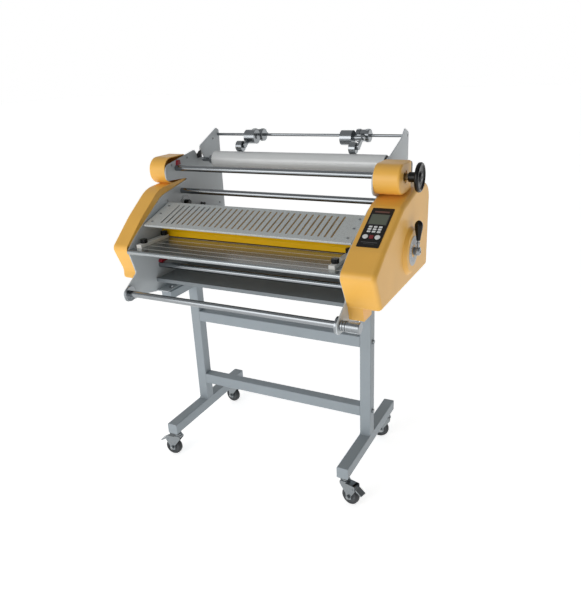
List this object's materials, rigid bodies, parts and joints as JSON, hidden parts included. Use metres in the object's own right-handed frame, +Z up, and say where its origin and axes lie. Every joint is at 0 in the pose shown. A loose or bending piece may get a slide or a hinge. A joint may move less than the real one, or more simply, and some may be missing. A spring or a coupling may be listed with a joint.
{
  "type": "roll laminator",
  "caption": "Floor-standing roll laminator: rollers, film shafts, slotted guard and slitters between two side plates, with a control panel, on a wheeled stand.",
  "frame": {"origin": "on the floor, midway between the two side plates and at the depth of the stand's posts", "axes": "+Z up, +Y away from the operator, +X to the operator's right"},
  "size_m": [0.9666, 0.6652, 1.1667],
  "materials": {
    "stand_paint": "light blue-grey powder coat",
    "plate_paint": "grey powder coat",
    "hammer_paint": "grey hammertone paint",
    "cover_plastic": "amber yellow moulded shell, satin",
    "strip_paint": "bright yellow paint, satin",
    "bright_steel": "polished chrome plate",
    "zinc_steel": "zinc plated steel",
    "tread": "grey-black polyurethane tread on a nylon core",
    "silicone": "tan silicone rubber sleeve",
    "film": "wound film, silvery white",
    "black_plastic": "black phenolic plastic, glossy",
    "table_alloy": "grey extruded aluminium with fine ribs",
    "tray_paint": "dark grey paint",
    "panel_black": "black printed overlay",
    "lcd": "grey-green display glass",
    "white_key": "white keys",
    "stop_red": "dark red plastic",
    "latch_red": "dark red plastic latches",
    "dial_grey": "light grey printed dial",
    "guide_white": "off-white acetal bar",
    "motor_case": "dark painted motor and gearbox",
    "bearing_iron": "grey painted bearing blocks",
    "inlet_black": "black inlet body"
  },
  "bodies": {
    "root": {"leg_frames": "stand_paint", "crossbars": "stand_paint", "stand_fasteners": "zinc_steel", "left_side_plate": "plate_paint", "right_side_plate": "plate_paint", "left_cover": "cover_plastic", "right_cover": "cover_plastic", "boss_covers": "cover_plastic", "feed_table": "table_alloy", "bottom_tray": "tray_paint", "rear_panel": "plate_paint", "slitter_rod": "bright_steel", "drive_motor": "motor_case", "bearing_blocks": "bearing_iron", "control_panel": "panel_black", "display_window": "lcd", "keypad": "white_key", "shaft_latches": "latch_red", "power_inlet": "inlet_black", "dials": "dial_grey", "finger_strip": "strip_paint"},
    "swivel_fl": {"caster_fork_fl": "zinc_steel"},
    "wheel_fl": {"caster_wheel_fl": "tread"},
    "brake_fl": {"caster_pedal_fl": "zinc_steel"},
    "swivel_fr": {"caster_fork_fr": "zinc_steel"},
    "wheel_fr": {"caster_wheel_fr": "tread"},
    "brake_fr": {"caster_pedal_fr": "zinc_steel"},
    "swivel_rl": {"caster_fork_rl": "zinc_steel"},
    "wheel_rl": {"caster_wheel_rl": "tread"},
    "swivel_rr": {"caster_fork_rr": "zinc_steel"},
    "wheel_rr": {"caster_wheel_rr": "tread"},
    "reverse_key": {"reverse_key": "white_key"},
    "stop_key": {"stop_key": "stop_red"},
    "forward_key": {"forward_key": "white_key"},
    "pressure_lever": {"pressure_lever": "black_plastic"},
    "gap_knob": {"gap_knob": "black_plastic"},
    "guard": {"slotted_guard": "hammer_paint"},
    "film_supply": {"film_roll": "film", "film_shaft": "bright_steel"},
    "tension_bar": {"tension_shaft": "bright_steel", "tension_handwheel": "black_plastic"},
    "idler": {"idler_bar": "bright_steel"},
    "lower_supply": {"lower_supply_shaft": "bright_steel"},
    "rewind": {"rewind_shaft": "bright_steel"},
    "lower_laminating_roller": {"lower_laminating_roller": "silicone"},
    "upper_laminating_roller": {"upper_laminating_roller": "silicone"},
    "lower_pull_roller": {"lower_pull_roller": "silicone"},
    "upper_pull_roller": {"upper_pull_roller": "silicone"},
    "left_slitter_collar": {"left_slitter_collar": "bright_steel"},
    "left_slitter_arm": {"left_slitter_arm": "bright_steel"},
    "left_slitter_wheel": {"left_slitter_wheel": "bright_steel"},
    "right_slitter_collar": {"right_slitter_collar": "bright_steel"},
    "right_slitter_arm": {"right_slitter_arm": "bright_steel"},
    "right_slitter_wheel": {"right_slitter_wheel": "bright_steel"},
    "left_paper_guide": {"left_paper_guide": "guide_white"},
    "left_guide_knob_front": {"left_guide_knob_front": "black_plastic"},
    "left_guide_knob_rear": {"left_guide_knob_rear": "black_plastic"},
    "right_paper_guide": {"right_paper_guide": "guide_white"},
    "right_guide_knob_front": {"right_guide_knob_front": "black_plastic"},
    "right_guide_knob_rear": {"right_guide_knob_rear": "black_plastic"}
  },
  "joints": [
    {"name": "caster_swivel_fl", "type": "hinge", "parent": "root", "child": "swivel_fl", "pos_m": [-0.343, -0.206, 0.09], "axis": [0, 0, 1], "continuous": true},
    {"name": "caster_roll_fl", "type": "hinge", "parent": "swivel_fl", "child": "wheel_fl", "pos_m": [-0.36492, -0.20792, 0.0315], "axis": [0.0872, -0.9962, 0], "continuous": true},
    {"name": "brake_press_fl", "type": "hinge", "parent": "swivel_fl", "child": "brake_fl", "pos_m": [-0.38185, -0.2094, 0.066], "axis": [0.0872, -0.9962, 0], "range_deg": [0, 15]},
    {"name": "caster_swivel_fr", "type": "hinge", "parent": "root", "child": "swivel_fr", "pos_m": [0.343, -0.206, 0.09], "axis": [0, 0, 1], "continuous": true},
    {"name": "caster_roll_fr", "type": "hinge", "parent": "swivel_fr", "child": "wheel_fr", "pos_m": [0.36425, -0.21169, 0.0315], "axis": [0.2588, 0.9659, 0], "continuous": true},
    {"name": "brake_press_fr", "type": "hinge", "parent": "swivel_fr", "child": "brake_fr", "pos_m": [0.38067, -0.21609, 0.066], "axis": [0.2588, 0.9659, 0], "range_deg": [0, 15]},
    {"name": "caster_swivel_rl", "type": "hinge", "parent": "root", "child": "swivel_rl", "pos_m": [-0.343, 0.221, 0.09], "axis": [0, 0, 1], "continuous": true},
    {"name": "caster_roll_rl", "type": "hinge", "parent": "swivel_rl", "child": "wheel_rl", "pos_m": [-0.36467, 0.22482, 0.0315], "axis": [-0.1736, -0.9848, 0], "continuous": true},
    {"name": "caster_swivel_rr", "type": "hinge", "parent": "root", "child": "swivel_rr", "pos_m": [0.343, 0.221, 0.09], "axis": [0, 0, 1], "continuous": true},
    {"name": "caster_roll_rr", "type": "hinge", "parent": "swivel_rr", "child": "wheel_rr", "pos_m": [0.32233, 0.21348, 0.0315], "axis": [0.342, -0.9397, 0], "continuous": true},
    {"name": "reverse_press", "type": "slide", "parent": "root", "child": "reverse_key", "axis": [0, 0.4725, -0.8813], "range_m": [0, 0.0008], "stiffness_N_per_m": 800, "springref_m": -0.0005},
    {"name": "stop_press", "type": "slide", "parent": "root", "child": "stop_key", "axis": [0, 0.4725, -0.8813], "range_m": [0, 0.0008], "stiffness_N_per_m": 800, "springref_m": -0.0005},
    {"name": "forward_press", "type": "slide", "parent": "root", "child": "forward_key", "axis": [0, 0.4725, -0.8813], "range_m": [0, 0.0008], "stiffness_N_per_m": 800, "springref_m": -0.0005},
    {"name": "pressure_lever_turn", "type": "hinge", "parent": "root", "child": "pressure_lever", "pos_m": [0.507, -0.002, 0.832], "axis": [1, 0, 0], "range_deg": [-70, 70]},
    {"name": "gap_knob_turn", "type": "hinge", "parent": "root", "child": "gap_knob", "pos_m": [-0.365, 0.038, 0.926], "axis": [1, 0, 0], "range_deg": [-150, 150]},
    {"name": "guard_lift", "type": "hinge", "parent": "root", "child": "guard", "pos_m": [0, -0.072, 0.94], "axis": [-1, 0, 0], "range_deg": [0, 80]},
    {"name": "film_supply_turn", "type": "hinge", "parent": "root", "child": "film_supply", "pos_m": [0, 0.18, 1.061], "axis": [1, 0, 0], "continuous": true},
    {"name": "tension_turn", "type": "hinge", "parent": "root", "child": "tension_bar", "pos_m": [0, 0.004, 1.055], "axis": [1, 0, 0], "continuous": true},
    {"name": "idler_turn", "type": "hinge", "parent": "root", "child": "idler", "pos_m": [0, 0.023, 0.972], "axis": [1, 0, 0], "continuous": true},
    {"name": "lower_supply_turn", "type": "hinge", "parent": "root", "child": "lower_supply", "pos_m": [0, -0.146, 0.744], "axis": [1, 0, 0], "continuous": true},
    {"name": "rewind_turn", "type": "hinge", "parent": "root", "child": "rewind", "pos_m": [0, -0.319, 0.693], "axis": [1, 0, 0], "continuous": true},
    {"name": "lower_laminating_spin", "type": "hinge", "parent": "root", "child": "lower_laminating_roller", "pos_m": [0, -0.036, 0.799], "axis": [1, 0, 0], "continuous": true},
    {"name": "upper_laminating_spin", "type": "hinge", "parent": "root", "child": "upper_laminating_roller", "pos_m": [0, -0.036, 0.8756], "axis": [1, 0, 0], "continuous": true},
    {"name": "lower_pull_spin", "type": "hinge", "parent": "root", "child": "lower_pull_roller", "pos_m": [0, 0.17, 0.813], "axis": [1, 0, 0], "continuous": true},
    {"name": "upper_pull_spin", "type": "hinge", "parent": "root", "child": "upper_pull_roller", "pos_m": [0, 0.17, 0.8616], "axis": [1, 0, 0], "continuous": true},
    {"name": "left_slitter_slide", "type": "slide", "parent": "root", "child": "left_slitter_collar", "axis": [1, 0, 0], "range_m": [-0.1, 0.16]},
    {"name": "left_slitter_swing", "type": "hinge", "parent": "left_slitter_collar", "child": "left_slitter_arm", "pos_m": [-0.192, 0.288, 1.14], "axis": [-1, 0, 0], "range_deg": [0, 110]},
    {"name": "left_slitter_wheel_spin", "type": "hinge", "parent": "left_slitter_arm", "child": "left_slitter_wheel", "pos_m": [-0.219, 0.195, 1.1092], "axis": [1, 0, 0], "continuous": true},
    {"name": "right_slitter_slide", "type": "slide", "parent": "root", "child": "right_slitter_collar", "axis": [1, 0, 0], "range_m": [-0.12, 0.1]},
    {"name": "right_slitter_swing", "type": "hinge", "parent": "right_slitter_collar", "child": "right_slitter_arm", "pos_m": [0.224, 0.288, 1.14], "axis": [-1, 0, 0], "range_deg": [0, 110]},
    {"name": "right_slitter_wheel_spin", "type": "hinge", "parent": "right_slitter_arm", "child": "right_slitter_wheel", "pos_m": [0.221, 0.195, 1.1092], "axis": [1, 0, 0], "continuous": true},
    {"name": "left_guide_slide", "type": "slide", "parent": "root", "child": "left_paper_guide", "axis": [1, 0, 0], "range_m": [0, 0.25]},
    {"name": "left_guide_knob_front_turn", "type": "hinge", "parent": "left_paper_guide", "child": "left_guide_knob_front", "pos_m": [-0.355, -0.24, 0.85], "axis": [0, 0, 1], "range_deg": [0, 360]},
    {"name": "left_guide_knob_rear_turn", "type": "hinge", "parent": "left_paper_guide", "child": "left_guide_knob_rear", "pos_m": [-0.355, -0.131, 0.85], "axis": [0, 0, 1], "range_deg": [0, 360]},
    {"name": "right_guide_slide", "type": "slide", "parent": "root", "child": "right_paper_guide", "axis": [-1, 0, 0], "range_m": [0, 0.25]},
    {"name": "right_guide_knob_front_turn", "type": "hinge", "parent": "right_paper_guide", "child": "right_guide_knob_front", "pos_m": [0.334, -0.24, 0.85], "axis": [0, 0, 1], "range_deg": [0, 360]},
    {"name": "right_guide_knob_rear_turn", "type": "hinge", "parent": "right_paper_guide", "child": "right_guide_knob_rear", "pos_m": [0.334, -0.131, 0.85], "axis": [0, 0, 1], "range_deg": [0, 360]}
  ],
  "couplings": [
    {"joint": "upper_laminating_spin", "follows": "lower_laminating_spin", "ratio": -1},
    {"joint": "lower_pull_spin", "follows": "lower_laminating_spin", "ratio": 1.5833},
    {"joint": "upper_pull_spin", "follows": "lower_laminating_spin", "ratio": -1.5833}
  ]
}
